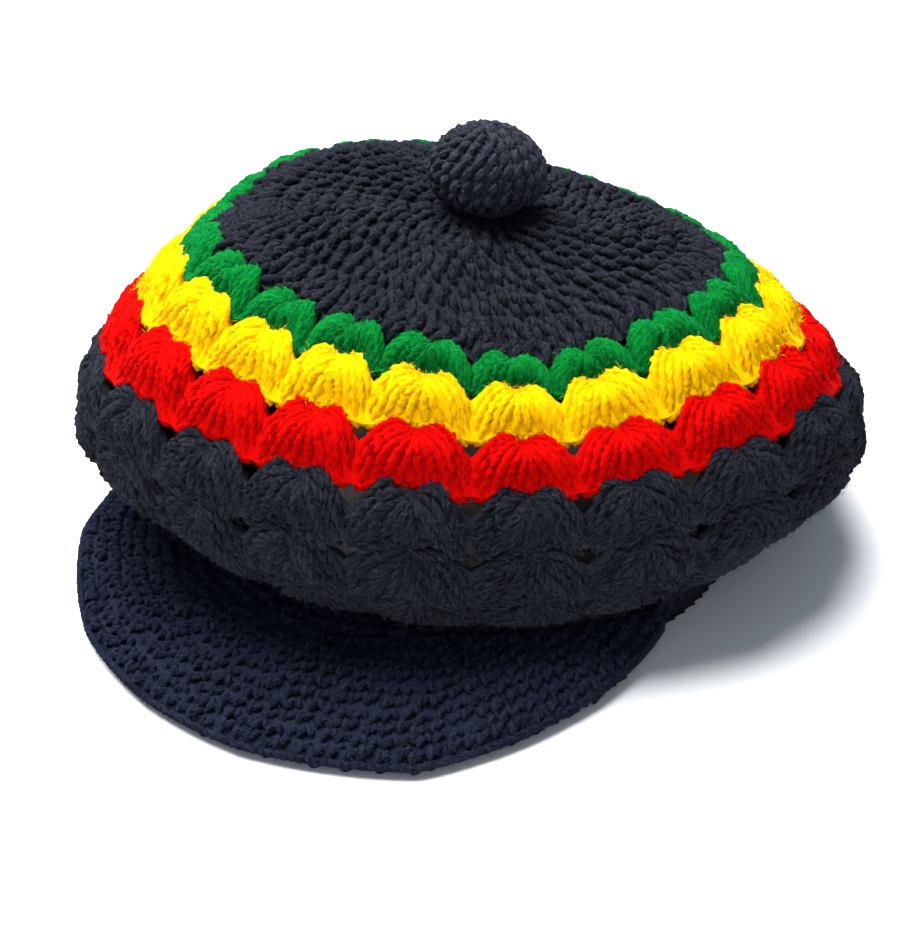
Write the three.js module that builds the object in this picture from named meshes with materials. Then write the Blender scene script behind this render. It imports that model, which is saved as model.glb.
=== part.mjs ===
import * as THREE from 'three';

// Rasta tam: a crocheted crown worked in rounds from the middle of its top, a head band,
// a peak on the front of the band and a stuffed button on top. Millimetres, +Z up.
// The peak points to -Y. The origin is the middle of the footprint of the box round the whole tam,
// on the surface it rests on.

const CROWN_RADIUS = 142;
const CROWN_HEIGHT = 119.5;
const RIM_HEIGHT = 57.4;
const CROWN_WALL = 4;
const CROWN_SHIFT_X = -15;
const CROWN_SHIFT_Y = 9.5;
const CROWN_TILT_DEG = 6;
const CENTRE_PULL_X = 4.5;
const CENTRE_PULL_Y = 4.5;
const TILT_FULL_SHARE = 0.845;

const SHELLS_PER_ROUND = 20;
const FIRST_VALLEY_DEG = 8.5;
const SHELL_PUFF = 2.4;
const SCALLOP_DEPTH = 6.4;
const HOLE_DEPTH = 6.4;

const BAND_OUTER_RADIUS = 95;
const BAND_THICKNESS = 5;
const BAND_HEIGHT = 26.7;
const BAND_COLUMNS = 72;

const PEAK_LENGTH = 64;
const PEAK_THICKNESS = 7.5;
const PEAK_ROOT_RISE = 11;
const PEAK_SIDE_RISE = 12;
const PEAK_HALF_ANGLE_DEG = 85;

const BUTTON_RADIUS = 20.5;
const BUTTON_HEIGHT = 30;
const BUTTON_COLUMNS = 20;
const BUTTON_LEAN_X = -2;
const BUTTON_LEAN_Y = -1;

const GAP = 0.3;
const ROUND_GAP = 0.55;
const BUTTON_GAP = 0.5;
const UNDER_FLAT = 4;

// The crown's profile from the middle of the top to its rim. out: share of CROWN_RADIUS, up: share
// of the rise from RIM_HEIGHT to CROWN_HEIGHT, starts: the round whose upper edge lies on this row.
const TOP_ROWS = [
  { out: 0.000, up: 1.000, starts: 'crown_disc' },
  { out: 0.180, up: 0.994 },
  { out: 0.350, up: 0.971 },
  { out: 0.520, up: 0.917 },
  { out: 0.655, up: 0.831, starts: 'green_round' },
  { out: 0.735, up: 0.723, starts: 'yellow_round' },
  { out: 0.795, up: 0.631 },
  { out: 0.848, up: 0.523, starts: 'red_round' },
  { out: 0.902, up: 0.408 },
  { out: 0.947, up: 0.283, starts: 'black_round_1' },
  { out: 0.980, up: 0.150 },
  { out: 1.000, up: 0.000, starts: 'black_round_2' },
];

// The profile from the rim in to the band. inward: share of the way from CROWN_RADIUS to the flat
// fold over the band, up: share of the rise from that fold to RIM_HEIGHT, lean: share of the
// crown's shift, tilt and lie that still acts here.
const UNDER_ROWS = [
  { inward: 0.020, up: 0.613, lean: 0.94 },
  { inward: 0.165, up: 0.334, lean: 0.82, starts: 'black_round_3' },
  { inward: 0.423, up: 0.158, lean: 0.56 },
  { inward: 0.709, up: 0.039, lean: 0.24, starts: 'black_round_4' },
  { inward: 1.000, up: 0.000, lean: 0.00 },
];

// How the soft crown lies, at each angle from +X towards +Y. out: its radius as a share of the
// round one, up: its rise as a share of CROWN_HEIGHT, crest: further rise of the disc's edge,
// turn: degrees that the stretched stitches are pulled round.
const LIE_ROWS = [
  { deg: 0, out: 0.947, up: 0.001, crest: -0.010, turn: -0.8 },
  { deg: 30, out: 1.008, up: 0.028, crest: 0.014, turn: -2.8 },
  { deg: 60, out: 0.955, up: -0.060, crest: 0.040, turn: 0.0 },
  { deg: 90, out: 0.935, up: -0.100, crest: 0.060, turn: 0.0 },
  { deg: 120, out: 0.955, up: -0.080, crest: 0.060, turn: 0.0 },
  { deg: 150, out: 0.990, up: -0.045, crest: 0.065, turn: 1.5 },
  { deg: 180, out: 0.970, up: -0.070, crest: 0.095, turn: 4.0 },
  { deg: 210, out: 0.965, up: -0.084, crest: 0.070, turn: 8.0 },
  { deg: 240, out: 1.023, up: 0.003, crest: 0.070, turn: 11.4 },
  { deg: 270, out: 0.977, up: -0.032, crest: 0.025, turn: 5.7 },
  { deg: 300, out: 0.923, up: -0.051, crest: 0.001, turn: 0.6 },
  { deg: 330, out: 0.843, up: -0.097, crest: -0.044, turn: 1.0 },
];

// One shell from valley to valley. at: place across the shell, edge: share of the scallop
// (positive dips towards the rim), hole: share of the hole above the edge, puff: share of SHELL_PUFF.
const SHELL_ROWS = [
  { at: -0.50, edge: 1.00, hole: 1.00, puff: 0.00 },
  { at: -0.36, edge: 0.10, hole: 0.00, puff: 0.60 },
  { at: -0.20, edge: -0.60, hole: 0.00, puff: 0.95 },
  { at: 0.00, edge: -0.25, hole: 0.20, puff: 1.00 },
  { at: 0.20, edge: -0.60, hole: 0.00, puff: 0.95 },
  { at: 0.36, edge: 0.10, hole: 0.00, puff: 0.60 },
];

// The upper edge of each round. scallop: depth of its valleys as a share of SCALLOP_DEPTH, hole:
// depth of the opening left over each valley as a share of HOLE_DEPTH.
const ROUND_EDGES = {
  crown_disc: { scallop: 0.00, hole: 0.00 },
  green_round: { scallop: 0.78, hole: 0.31 },
  yellow_round: { scallop: 0.88, hole: 0.38 },
  red_round: { scallop: 0.97, hole: 0.78 },
  black_round_1: { scallop: 1.00, hole: 1.00 },
  black_round_2: { scallop: 0.72, hole: 0.78 },
  black_round_3: { scallop: 0.56, hole: 0.56 },
  black_round_4: { scallop: 0.38, hole: 0.38 },
};

// The peak, by angle from the front towards +X. out: share of PEAK_LENGTH, rise: lift of the outer
// edge's underside as a share of PEAK_SIDE_RISE, root: lift of the inner edge's underside as a
// share of PEAK_ROOT_RISE.
const PEAK_ROWS = [
  { deg: -85, out: 0.100, rise: 1.00, root: 1.25 },
  { deg: -71, out: 0.300, rise: 0.95, root: 1.20 },
  { deg: -57, out: 0.520, rise: 0.80, root: 1.15 },
  { deg: -44, out: 0.742, rise: 0.55, root: 1.10 },
  { deg: -37, out: 0.852, rise: 0.40, root: 1.05 },
  { deg: -26, out: 0.913, rise: 0.20, root: 1.00 },
  { deg: -15, out: 0.981, rise: 0.05, root: 1.00 },
  { deg: 0, out: 1.000, rise: 0.00, root: 1.00 },
  { deg: 15, out: 0.981, rise: 0.00, root: 1.00 },
  { deg: 26, out: 0.913, rise: 0.00, root: 1.00 },
  { deg: 37, out: 0.852, rise: 0.00, root: 1.00 },
  { deg: 44, out: 0.717, rise: 0.00, root: 1.00 },
  { deg: 57, out: 0.481, rise: 0.05, root: 0.90 },
  { deg: 71, out: 0.265, rise: 0.15, root: 0.75 },
  { deg: 85, out: 0.066, rise: 0.30, root: 0.60 },
];

// Across the peak. across: share of the way from the band to the edge, lift: share of
// PEAK_THICKNESS above the underside line.
const PEAK_SECTION = [
  { across: 0.00, lift: 0.00 },
  { across: 0.50, lift: 0.06 },
  { across: 0.93, lift: 0.00 },
  { across: 1.00, lift: 0.42 },
  { across: 0.94, lift: 0.86 },
  { across: 0.50, lift: 1.10 },
  { across: 0.00, lift: 1.00 },
];

// The button. out: share of BUTTON_RADIUS, up: share of BUTTON_HEIGHT above the crown.
const BUTTON_ROWS = [
  { out: 0.60, up: 0.10 },
  { out: 0.62, up: 0.17 },
  { out: 0.90, up: 0.24 },
  { out: 1.00, up: 0.38 },
  { out: 0.98, up: 0.56 },
  { out: 0.86, up: 0.74 },
  { out: 0.62, up: 0.89 },
  { out: 0.32, up: 0.975 },
];

// Crocheted acrylic yarn: colour, roughness.
const YARNS = {
  black: { color: 0x23242a, roughness: 0.96 },
  green: { color: 0x147c2a, roughness: 0.93 },
  yellow: { color: 0xf6ce08, roughness: 0.93 },
  red: { color: 0xce0503, roughness: 0.93 },
};

const RADIANS = Math.PI / 180;

// Reads a table by its angle column, smoothly, round the full circle when closed is true.
function readTable(rows, deg, key, closed) {
  const last = rows.length - 1;
  let index = 0;
  let next = 1;
  let span = 1;
  let from = 0;
  if (closed) {
    span = 360 / rows.length;
    const place = ((deg % 360) + 360) % 360;
    index = Math.floor(place / span) % rows.length;
    next = (index + 1) % rows.length;
    from = place - index * span;
  } else {
    while (index < last - 1 && deg > rows[index + 1].deg) {
      index += 1;
    }
    next = index + 1;
    span = rows[next].deg - rows[index].deg;
    from = Math.min(Math.max(deg - rows[index].deg, 0), span);
  }
  const t = from / span;
  const before = closed ? (index + rows.length - 1) % rows.length : Math.max(index - 1, 0);
  const after = closed ? (next + 1) % rows.length : Math.min(next + 1, last);
  const a = rows[index][key];
  const b = rows[next][key];
  if (!closed) {
    return a + (b - a) * t;
  }
  const slopeA = (b - rows[before][key]) / 2;
  const slopeB = (rows[after][key] - a) / 2;
  const tt = t * t;
  const ttt = tt * t;
  return a * (2 * ttt - 3 * tt + 1) + slopeA * (ttt - 2 * tt + t)
    + b * (3 * tt - 2 * ttt) + slopeB * (ttt - tt);
}

// The profile in mm, from the middle of the top to the band's inner face.
const bandInnerRadius = BAND_OUTER_RADIUS - BAND_THICKNESS;
const foldRadius = BAND_OUTER_RADIUS + UNDER_FLAT;
const foldHeight = BAND_HEIGHT + GAP + CROWN_WALL / 2;
const profile = [
  ...TOP_ROWS.map(({ out, up, starts }) => ({
    out: out * CROWN_RADIUS,
    up: RIM_HEIGHT + up * (CROWN_HEIGHT - RIM_HEIGHT),
    lean: 1,
    starts,
  })),
  ...UNDER_ROWS.map(({ inward, up, lean, starts }) => ({
    out: CROWN_RADIUS + inward * (foldRadius - CROWN_RADIUS),
    up: foldHeight + up * (RIM_HEIGHT - foldHeight),
    lean,
    starts,
  })),
  { out: bandInnerRadius, up: foldHeight, lean: 0 },
];

// Distance along the profile of each of its rows.
const profileRuns = [0];
for (let i = 1; i < profile.length; i += 1) {
  const a = profile[i - 1];
  const b = profile[i];
  profileRuns.push(profileRuns[i - 1] + Math.hypot(b.out - a.out, b.up - a.up));
}

function runOf(name) {
  return profileRuns[profile.findIndex((row) => row.starts === name)];
}

const profileEnd = profileRuns[profileRuns.length - 1];
const foldRun = profileRuns[profileRuns.length - 2];
const discRun = runOf('green_round');
const shoulderRun = runOf('black_round_1');
const normalReach = 1.25 * CROWN_WALL;

function profileAt(run) {
  const place = Math.min(Math.max(run, 0), profileEnd);
  let i = 1;
  while (i < profile.length - 1 && profileRuns[i] < place) {
    i += 1;
  }
  const t = (place - profileRuns[i - 1]) / (profileRuns[i] - profileRuns[i - 1]);
  const a = profile[i - 1];
  const b = profile[i];
  return {
    out: a.out + (b.out - a.out) * t,
    up: a.up + (b.up - a.up) * t,
    lean: a.lean + (b.lean - a.lean) * t,
  };
}

// A point of the crown: deg round it, run along its profile, depth out of the wall's middle.
function crownPoint(deg, run, depth) {
  const middle = profileAt(run);
  const before = profileAt(run - normalReach);
  const behind = profileAt(run + normalReach);
  const along = Math.hypot(behind.out - before.out, behind.up - before.up);
  const out = middle.out - depth * (behind.up - before.up) / along;
  const up = middle.up + depth * (behind.out - before.out) / along;
  const turn = middle.lean * readTable(LIE_ROWS, deg, 'turn', true);
  const angle = (deg + turn) * RADIANS;
  const tiltRadius = TILT_FULL_SHARE * CROWN_RADIUS;
  const share = middle.lean * Math.min(1, Math.max(0, out) / tiltRadius);
  const radius = out * (1 + middle.lean * (readTable(LIE_ROWS, deg, 'out', true) - 1));
  const tilt = tiltRadius * Math.tan(CROWN_TILT_DEG * RADIANS) * Math.sin(angle);
  const rise = readTable(LIE_ROWS, deg, 'up', true) * CROWN_HEIGHT - tilt;
  const pull = Math.max(0, 1 - run / discRun);
  const fall = Math.max(0, 1 - (run - discRun) / (shoulderRun - discRun));
  const crestShare = run < discRun ? Math.sin(run / discRun * Math.PI / 2) ** 2 : fall;
  const crest = crestShare * readTable(LIE_ROWS, deg, 'crest', true) * CROWN_HEIGHT;
  return new THREE.Vector3(
    middle.lean * CROWN_SHIFT_X + pull * CENTRE_PULL_X + radius * Math.cos(angle),
    middle.lean * CROWN_SHIFT_Y + pull * CENTRE_PULL_Y + radius * Math.sin(angle),
    up + share * rise + crest,
  );
}

// The columns of one round: 20 shells of six columns each.
const shellColumns = [];
for (let shell = 0; shell < SHELLS_PER_ROUND; shell += 1) {
  for (const row of SHELL_ROWS) {
    const deg = FIRST_VALLEY_DEG + (shell + 0.5 + row.at) * 360 / SHELLS_PER_ROUND;
    shellColumns.push({ deg, ...row });
  }
}

function upperEdge(name, column) {
  return runOf(name) + column.edge * ROUND_EDGES[name].scallop * SCALLOP_DEPTH;
}

function lowerEdge(nextName, column) {
  if (!nextName) {
    return profileEnd;
  }
  const hole = column.hole * ROUND_EDGES[nextName].hole * HOLE_DEPTH;
  return upperEdge(nextName, column) - ROUND_GAP - hole;
}

// A closed mesh from a list of rings. Neighbouring rings have as many points each, or one has
// three times as many as the other, or one is a single point.
class Skin {
  constructor() {
    this.points = [];
    this.faces = [];
  }

  ring(points) {
    const first = this.points.length;
    this.points.push(...points);
    return points.map((point, index) => first + index);
  }

  face(a, b, c) {
    this.faces.push([a, b, c]);
  }

  join(a, b, closed = true) {
    const big = a.length >= b.length ? a : b;
    const small = a.length >= b.length ? b : a;
    const flip = big !== a;
    const add = (p, q, r) => (flip ? this.face(p, r, q) : this.face(p, q, r));
    if (small.length === 1) {
      for (let i = 0; i < big.length; i += 1) {
        add(big[i], small[0], big[(i + 1) % big.length]);
      }
    } else if (big.length === small.length) {
      const count = closed ? a.length : a.length - 1;
      for (let i = 0; i < count; i += 1) {
        const j = (i + 1) % a.length;
        this.face(a[i], b[i], b[j]);
        this.face(a[i], b[j], a[j]);
      }
    } else {
      for (let i = 0; i < small.length; i += 1) {
        const s0 = small[i];
        const s1 = small[(i + 1) % small.length];
        const f = [0, 1, 2, 3].map((k) => big[(3 * i + k) % big.length]);
        add(f[0], s0, f[1]);
        add(f[1], s0, s1);
        add(f[1], s1, f[2]);
        add(f[2], s1, f[3]);
      }
    }
  }

  geometry() {
    let volume = 0;
    for (const [a, b, c] of this.faces) {
      volume += this.points[a].dot(new THREE.Vector3().crossVectors(this.points[b], this.points[c]));
    }
    const index = this.faces.flatMap(([a, b, c]) => (volume > 0 ? [a, b, c] : [a, c, b]));
    const geometry = new THREE.BufferGeometry();
    const flat = this.points.flatMap((point) => [point.x, point.y, point.z]);
    geometry.setAttribute('position', new THREE.Float32BufferAttribute(flat, 3));
    geometry.setIndex(index);
    geometry.computeVertexNormals();
    return geometry;
  }
}

const part = new THREE.Group();
part.name = 'rasta_tam';

function addPiece(name, skin, yarn) {
  const material = new THREE.MeshStandardMaterial({ ...YARNS[yarn], metalness: 0 });
  material.name = `${yarn}_yarn`;
  const mesh = new THREE.Mesh(skin.geometry(), material);
  mesh.name = name;
  part.add(mesh);
}

// The middle of the top: a thin domed disc with a scalloped edge.
function buildDisc() {
  const skin = new Skin();
  const half = CROWN_WALL / 2;
  const coarse = shellColumns.filter((column, index) => index % 3 === 0);
  const inner = [1, 2, 3].map((row) => profileRuns[row]);
  const edgeRun = (column) => lowerEdge('green_round', column);
  const rings = [];
  rings.push(skin.ring([crownPoint(0, 0, half)]));
  for (const run of inner) {
    rings.push(skin.ring(coarse.map((column) => crownPoint(column.deg, run, half))));
  }
  rings.push(skin.ring(shellColumns.map((column) => crownPoint(column.deg, edgeRun(column), half))));
  rings.push(skin.ring(shellColumns.map((column) => crownPoint(column.deg, edgeRun(column), -half))));
  for (const run of inner.slice().reverse()) {
    rings.push(skin.ring(coarse.map((column) => crownPoint(column.deg, run, -half))));
  }
  rings.push(skin.ring([crownPoint(0, 0, -half)]));
  for (let i = 1; i < rings.length; i += 1) {
    skin.join(rings[i - 1], rings[i]);
  }
  return skin;
}

// One round of shells, from its upper edge to the next round's upper edge. The last round has no
// puff: it turns flat at the fold over the band.
function buildRound(name, nextName) {
  const skin = new Skin();
  const half = CROWN_WALL / 2;
  const turn = (top, bottom) => (nextName ? (top + bottom) / 2 : foldRun);
  const puffShare = nextName ? 1 : 0;
  const sides = [
    { run: (top) => top, depth: half, puff: 0 },
    { run: turn, depth: half, puff: puffShare },
    { run: (top, bottom) => bottom, depth: half, puff: 0 },
    { run: (top, bottom) => bottom, depth: -half, puff: 0 },
    ...(nextName ? [] : [{ run: turn, depth: -half, puff: 0 }]),
    { run: (top) => top, depth: -half, puff: 0 },
  ];
  const rings = sides.map((side) => skin.ring(shellColumns.map((column) => {
    const run = side.run(upperEdge(name, column), lowerEdge(nextName, column));
    return crownPoint(column.deg, run, side.depth + side.puff * column.puff * SHELL_PUFF);
  })));
  for (let i = 0; i < rings.length; i += 1) {
    skin.join(rings[i], rings[(i + 1) % rings.length]);
  }
  return skin;
}

function buildBand() {
  const skin = new Skin();
  const corners = [
    [BAND_OUTER_RADIUS, 0],
    [BAND_OUTER_RADIUS, BAND_HEIGHT],
    [bandInnerRadius, BAND_HEIGHT],
    [bandInnerRadius, 0],
  ];
  const rings = corners.map(([radius, height]) => {
    const points = [];
    for (let i = 0; i < BAND_COLUMNS; i += 1) {
      const angle = i * 2 * Math.PI / BAND_COLUMNS - Math.PI / 2;
      points.push(new THREE.Vector3(radius * Math.cos(angle), radius * Math.sin(angle), height));
    }
    return skin.ring(points);
  });
  for (let i = 0; i < rings.length; i += 1) {
    skin.join(rings[i], rings[(i + 1) % rings.length]);
  }
  return skin;
}

// The peak: one thick crescent, its columns in line with the band's.
function buildPeak() {
  const skin = new Skin();
  const step = 360 / BAND_COLUMNS;
  const columns = [];
  const half = Math.round(PEAK_HALF_ANGLE_DEG / step);
  for (let i = -half; i <= half; i += 1) {
    const deg = i * step;
    const root = readTable(PEAK_ROWS, deg, 'root', false) * PEAK_ROOT_RISE;
    const rise = readTable(PEAK_ROWS, deg, 'rise', false) * PEAK_SIDE_RISE;
    const inner = BAND_OUTER_RADIUS + GAP;
    const outer = inner + readTable(PEAK_ROWS, deg, 'out', false) * (PEAK_LENGTH - GAP);
    const angle = (deg - 90) * RADIANS;
    columns.push(PEAK_SECTION.map(({ across, lift }) => {
      const radius = inner + (outer - inner) * across;
      const height = root + (rise - root) * Math.min(1, across / 0.93) + lift * PEAK_THICKNESS;
      return new THREE.Vector3(radius * Math.cos(angle), radius * Math.sin(angle), height);
    }));
  }
  const rings = PEAK_SECTION.map((row, index) => skin.ring(columns.map((column) => column[index])));
  for (let i = 0; i < rings.length; i += 1) {
    skin.join(rings[i], rings[(i + 1) % rings.length], false);
  }
  const ends = [0, columns.length - 1];
  for (const end of ends) {
    for (let i = 2; i < rings.length; i += 1) {
      const triangle = [rings[0][end], rings[i - 1][end], rings[i][end]];
      if (end === 0) {
        skin.face(triangle[0], triangle[2], triangle[1]);
      } else {
        skin.face(triangle[0], triangle[1], triangle[2]);
      }
    }
  }
  return skin;
}

// The stuffed button, its foot following the top of the crown.
function buildButton() {
  const skin = new Skin();
  const clear = CROWN_WALL / 2 + BUTTON_GAP;
  const base = crownPoint(0, 0, clear);
  const degs = [];
  for (let i = 0; i < BUTTON_COLUMNS; i += 1) {
    degs.push(i * 360 / BUTTON_COLUMNS);
  }
  const footRadius = BUTTON_ROWS[0].out * BUTTON_RADIUS;
  const rings = [skin.ring([base])];
  rings.push(skin.ring(degs.map((deg) => crownPoint(deg, footRadius, clear))));
  for (const row of BUTTON_ROWS) {
    rings.push(skin.ring(degs.map((deg) => new THREE.Vector3(
      base.x + row.up * BUTTON_LEAN_X + row.out * BUTTON_RADIUS * Math.cos(deg * RADIANS),
      base.y + row.up * BUTTON_LEAN_Y + row.out * BUTTON_RADIUS * Math.sin(deg * RADIANS),
      base.z + row.up * BUTTON_HEIGHT,
    ))));
  }
  const top = new THREE.Vector3(base.x + BUTTON_LEAN_X, base.y + BUTTON_LEAN_Y, base.z + BUTTON_HEIGHT);
  rings.push(skin.ring([top]));
  for (let i = 1; i < rings.length; i += 1) {
    skin.join(rings[i - 1], rings[i]);
  }
  return skin;
}

addPiece('top_button', buildButton(), 'black');
addPiece('crown_disc', buildDisc(), 'black');
const rounds = Object.keys(ROUND_EDGES);
const yarnOf = { green_round: 'green', yellow_round: 'yellow', red_round: 'red' };
for (let i = 1; i < rounds.length; i += 1) {
  addPiece(rounds[i], buildRound(rounds[i], rounds[i + 1]), yarnOf[rounds[i]] ?? 'black');
}
addPiece('head_band', buildBand(), 'black');
addPiece('peak', buildPeak(), 'black');

// Moves the whole tam so that the origin is the middle of its footprint.
const middle = new THREE.Box3().setFromObject(part).getCenter(new THREE.Vector3());
for (const mesh of part.children) {
  mesh.geometry.translate(-middle.x, -middle.y, 0);
}

export default part;
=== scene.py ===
"""Rasta tam: crocheted rounds of acrylic yarn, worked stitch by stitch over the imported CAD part."""

import math

import bmesh
import bpy
import numpy as np
from bpy.props import FloatProperty, FloatVectorProperty, IntProperty, PointerProperty
from mathutils import Matrix, Vector


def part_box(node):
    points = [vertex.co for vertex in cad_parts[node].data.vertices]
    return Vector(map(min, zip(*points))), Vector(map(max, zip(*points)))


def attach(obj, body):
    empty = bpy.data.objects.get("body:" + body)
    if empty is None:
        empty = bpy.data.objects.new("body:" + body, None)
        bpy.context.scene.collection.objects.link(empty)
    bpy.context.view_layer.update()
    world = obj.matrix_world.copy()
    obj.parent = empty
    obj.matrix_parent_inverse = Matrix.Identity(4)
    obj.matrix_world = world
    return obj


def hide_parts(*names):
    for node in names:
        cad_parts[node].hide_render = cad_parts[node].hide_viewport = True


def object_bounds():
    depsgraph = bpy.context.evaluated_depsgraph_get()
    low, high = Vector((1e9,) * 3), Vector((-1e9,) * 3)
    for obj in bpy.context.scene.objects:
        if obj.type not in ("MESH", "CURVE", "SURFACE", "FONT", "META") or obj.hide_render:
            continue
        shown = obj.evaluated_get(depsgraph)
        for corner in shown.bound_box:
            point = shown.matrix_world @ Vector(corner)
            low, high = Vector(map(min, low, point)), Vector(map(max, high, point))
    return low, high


bl_info = {
    "name": "Rasta tam",
    "version": (1, 0, 0),
    "blender": (4, 5, 0),
    "location": "3D View > Sidebar > Tam",
    "description": "Crochets a striped tam with a peak and a button over its CAD part",
    "category": "Add Mesh",
}

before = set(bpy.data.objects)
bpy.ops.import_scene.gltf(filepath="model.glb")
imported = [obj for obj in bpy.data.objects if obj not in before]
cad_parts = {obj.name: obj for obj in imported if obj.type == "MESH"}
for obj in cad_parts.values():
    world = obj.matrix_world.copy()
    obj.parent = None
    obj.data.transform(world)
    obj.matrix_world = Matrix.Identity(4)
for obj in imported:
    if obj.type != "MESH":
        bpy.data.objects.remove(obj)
CAD_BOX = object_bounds()
BAND_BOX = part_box("head_band")

# Sizes of the part, in metres, on the axis of the head band.
CENTRE = ((BAND_BOX[0][0] + BAND_BOX[1][0]) / 2, (BAND_BOX[0][1] + BAND_BOX[1][1]) / 2)
BAND_RADIUS = (BAND_BOX[1][0] - BAND_BOX[0][0]) / 2
BAND_THICKNESS = 0.005
BAND_HEIGHT = BAND_BOX[1][2] - BAND_BOX[0][2]
CROWN_RADIUS = 0.142
CROWN_HEIGHT = 0.1195
RIM_HEIGHT = 0.0574
CROWN_WALL = 0.004
CROWN_SHIFT = (-0.015, 0.0095)
CENTRE_PULL = (0.0045, 0.0045)
CROWN_TILT = math.radians(6)
TILT_RADIUS = 0.845 * CROWN_RADIUS
FOLD_WIDTH = 0.004
FOLD_GAP = 0.0003
FOLD_RADIUS = BAND_RADIUS + FOLD_WIDTH
FOLD_HEIGHT = BAND_HEIGHT + FOLD_GAP + CROWN_WALL / 2
SHELLS = 20
SHELL_DEG = 360 / SHELLS
FIRST_VALLEY_DEG = 8.5
SCALLOP_DEPTH = 0.0064
HOLE_DEPTH = 0.0064
SHELL_PUFF = 0.0024
PEAK_LENGTH = 0.064
PEAK_THICKNESS = 0.0075
PEAK_ROOT_RISE = 0.011
PEAK_SIDE_RISE = 0.012
# Share of the way out at which the peak has reached the height of its edge.
PEAK_RISE_END = 0.93
BUTTON_RADIUS = 0.0205
BUTTON_HEIGHT = 0.030
BUTTON_LEAN = (-0.002, -0.001)
BUTTON_GAP = 0.0005
# Guide paths stay this far above the surface that the tam rests on.
GUIDE_CLEARANCE = 0.0013

# The crown's profile from the middle of the top to the band.
# out: share of CROWN_RADIUS, up: share of the rise from RIM_HEIGHT to CROWN_HEIGHT, starts: round
TOP_ROWS = (
    (0.000, 1.000, "crown_disc"),
    (0.180, 0.994, None),
    (0.350, 0.971, None),
    (0.520, 0.917, None),
    (0.655, 0.831, "green_round"),
    (0.735, 0.723, "yellow_round"),
    (0.795, 0.631, None),
    (0.848, 0.523, "red_round"),
    (0.902, 0.408, None),
    (0.947, 0.283, "black_round_1"),
    (0.980, 0.150, None),
    (1.000, 0.000, "black_round_2"),
)
# inward: share of the way from CROWN_RADIUS to FOLD_RADIUS, up: share of the rise from
# FOLD_HEIGHT to RIM_HEIGHT, lean: share of the crown's shift and lie, starts: round
UNDER_ROWS = (
    (0.020, 0.613, 0.94, None),
    (0.165, 0.334, 0.82, "black_round_3"),
    (0.423, 0.158, 0.56, None),
    (0.709, 0.039, 0.24, "black_round_4"),
    (1.000, 0.000, 0.00, "fold"),
)
# How the soft crown lies every 30 degrees from +X: radius share, rise share, crest share and
# degrees that the stitches are pulled round.
LIE_ROWS = np.array((
    (0.947, 0.001, -0.010, -0.8),
    (1.008, 0.028, 0.014, -2.8),
    (0.955, -0.060, 0.040, 0.0),
    (0.935, -0.100, 0.060, 0.0),
    (0.955, -0.080, 0.060, 0.0),
    (0.990, -0.045, 0.065, 1.5),
    (0.970, -0.070, 0.095, 4.0),
    (0.965, -0.084, 0.070, 8.0),
    (1.023, 0.003, 0.070, 11.4),
    (0.977, -0.032, 0.025, 5.7),
    (0.923, -0.051, 0.001, 0.6),
    (0.843, -0.097, -0.044, 1.0),
))
# One shell from valley to valley: place across it, scallop share, hole share, puff share.
SHELL_ROWS = np.array((
    (-0.50, 1.00, 1.00, 0.00),
    (-0.43, 0.45, 0.50, 0.30),
    (-0.36, 0.00, 0.00, 0.60),
    (-0.28, -0.42, 0.00, 0.80),
    (-0.20, -0.60, 0.00, 0.95),
    (-0.10, -0.53, 0.00, 1.00),
    (0.00, -0.25, 0.20, 1.00),
    (0.10, -0.53, 0.00, 1.00),
    (0.20, -0.60, 0.00, 0.95),
    (0.28, -0.42, 0.00, 0.80),
    (0.36, 0.00, 0.00, 0.60),
    (0.43, 0.45, 0.50, 0.30),
    (0.50, 1.00, 1.00, 0.00),
))
# Each round: scallop share, hole share, yarn, next round.
ROUNDS = {
    "crown_disc": (0.00, 0.00, "black", "green_round"),
    "green_round": (0.78, 0.31, "green", "yellow_round"),
    "yellow_round": (0.88, 0.38, "yellow", "red_round"),
    "red_round": (0.97, 0.78, "red", "black_round_1"),
    "black_round_1": (1.00, 1.00, "black", "black_round_2"),
    "black_round_2": (0.72, 0.78, "black", "black_round_3"),
    "black_round_3": (0.56, 0.56, "black", "black_round_4"),
    "black_round_4": (0.38, 0.38, "black", None),
}
# The peak: angle from the front, length share, edge rise share, root rise share.
PEAK_ROWS = np.array((
    (-85, 0.100, 1.00, 1.25),
    (-71, 0.300, 0.95, 1.20),
    (-57, 0.520, 0.80, 1.15),
    (-44, 0.742, 0.55, 1.10),
    (-37, 0.852, 0.40, 1.05),
    (-26, 0.913, 0.20, 1.00),
    (-15, 0.981, 0.05, 1.00),
    (0, 1.000, 0.00, 1.00),
    (15, 0.981, 0.00, 1.00),
    (26, 0.913, 0.00, 1.00),
    (37, 0.852, 0.00, 1.00),
    (44, 0.717, 0.00, 1.00),
    (57, 0.481, 0.05, 0.90),
    (71, 0.265, 0.15, 0.75),
    (85, 0.066, 0.30, 0.60),
))
# Across the peak: way from the band to the edge, lift of the upper face, lift of the lower face.
PEAK_SECTION = np.array((
    (0.00, 1.00, 0.00),
    (0.50, 1.10, 0.06),
    (0.94, 0.86, 0.00),
    (1.00, 0.42, 0.42),
))
# The button: share of BUTTON_RADIUS, share of BUTTON_HEIGHT.
BUTTON_ROWS = np.array((
    (0.60, 0.10), (0.62, 0.17), (0.90, 0.24), (1.00, 0.38), (0.98, 0.56),
    (0.86, 0.74), (0.62, 0.89), (0.32, 0.975), (0.00, 1.000),
))
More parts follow.
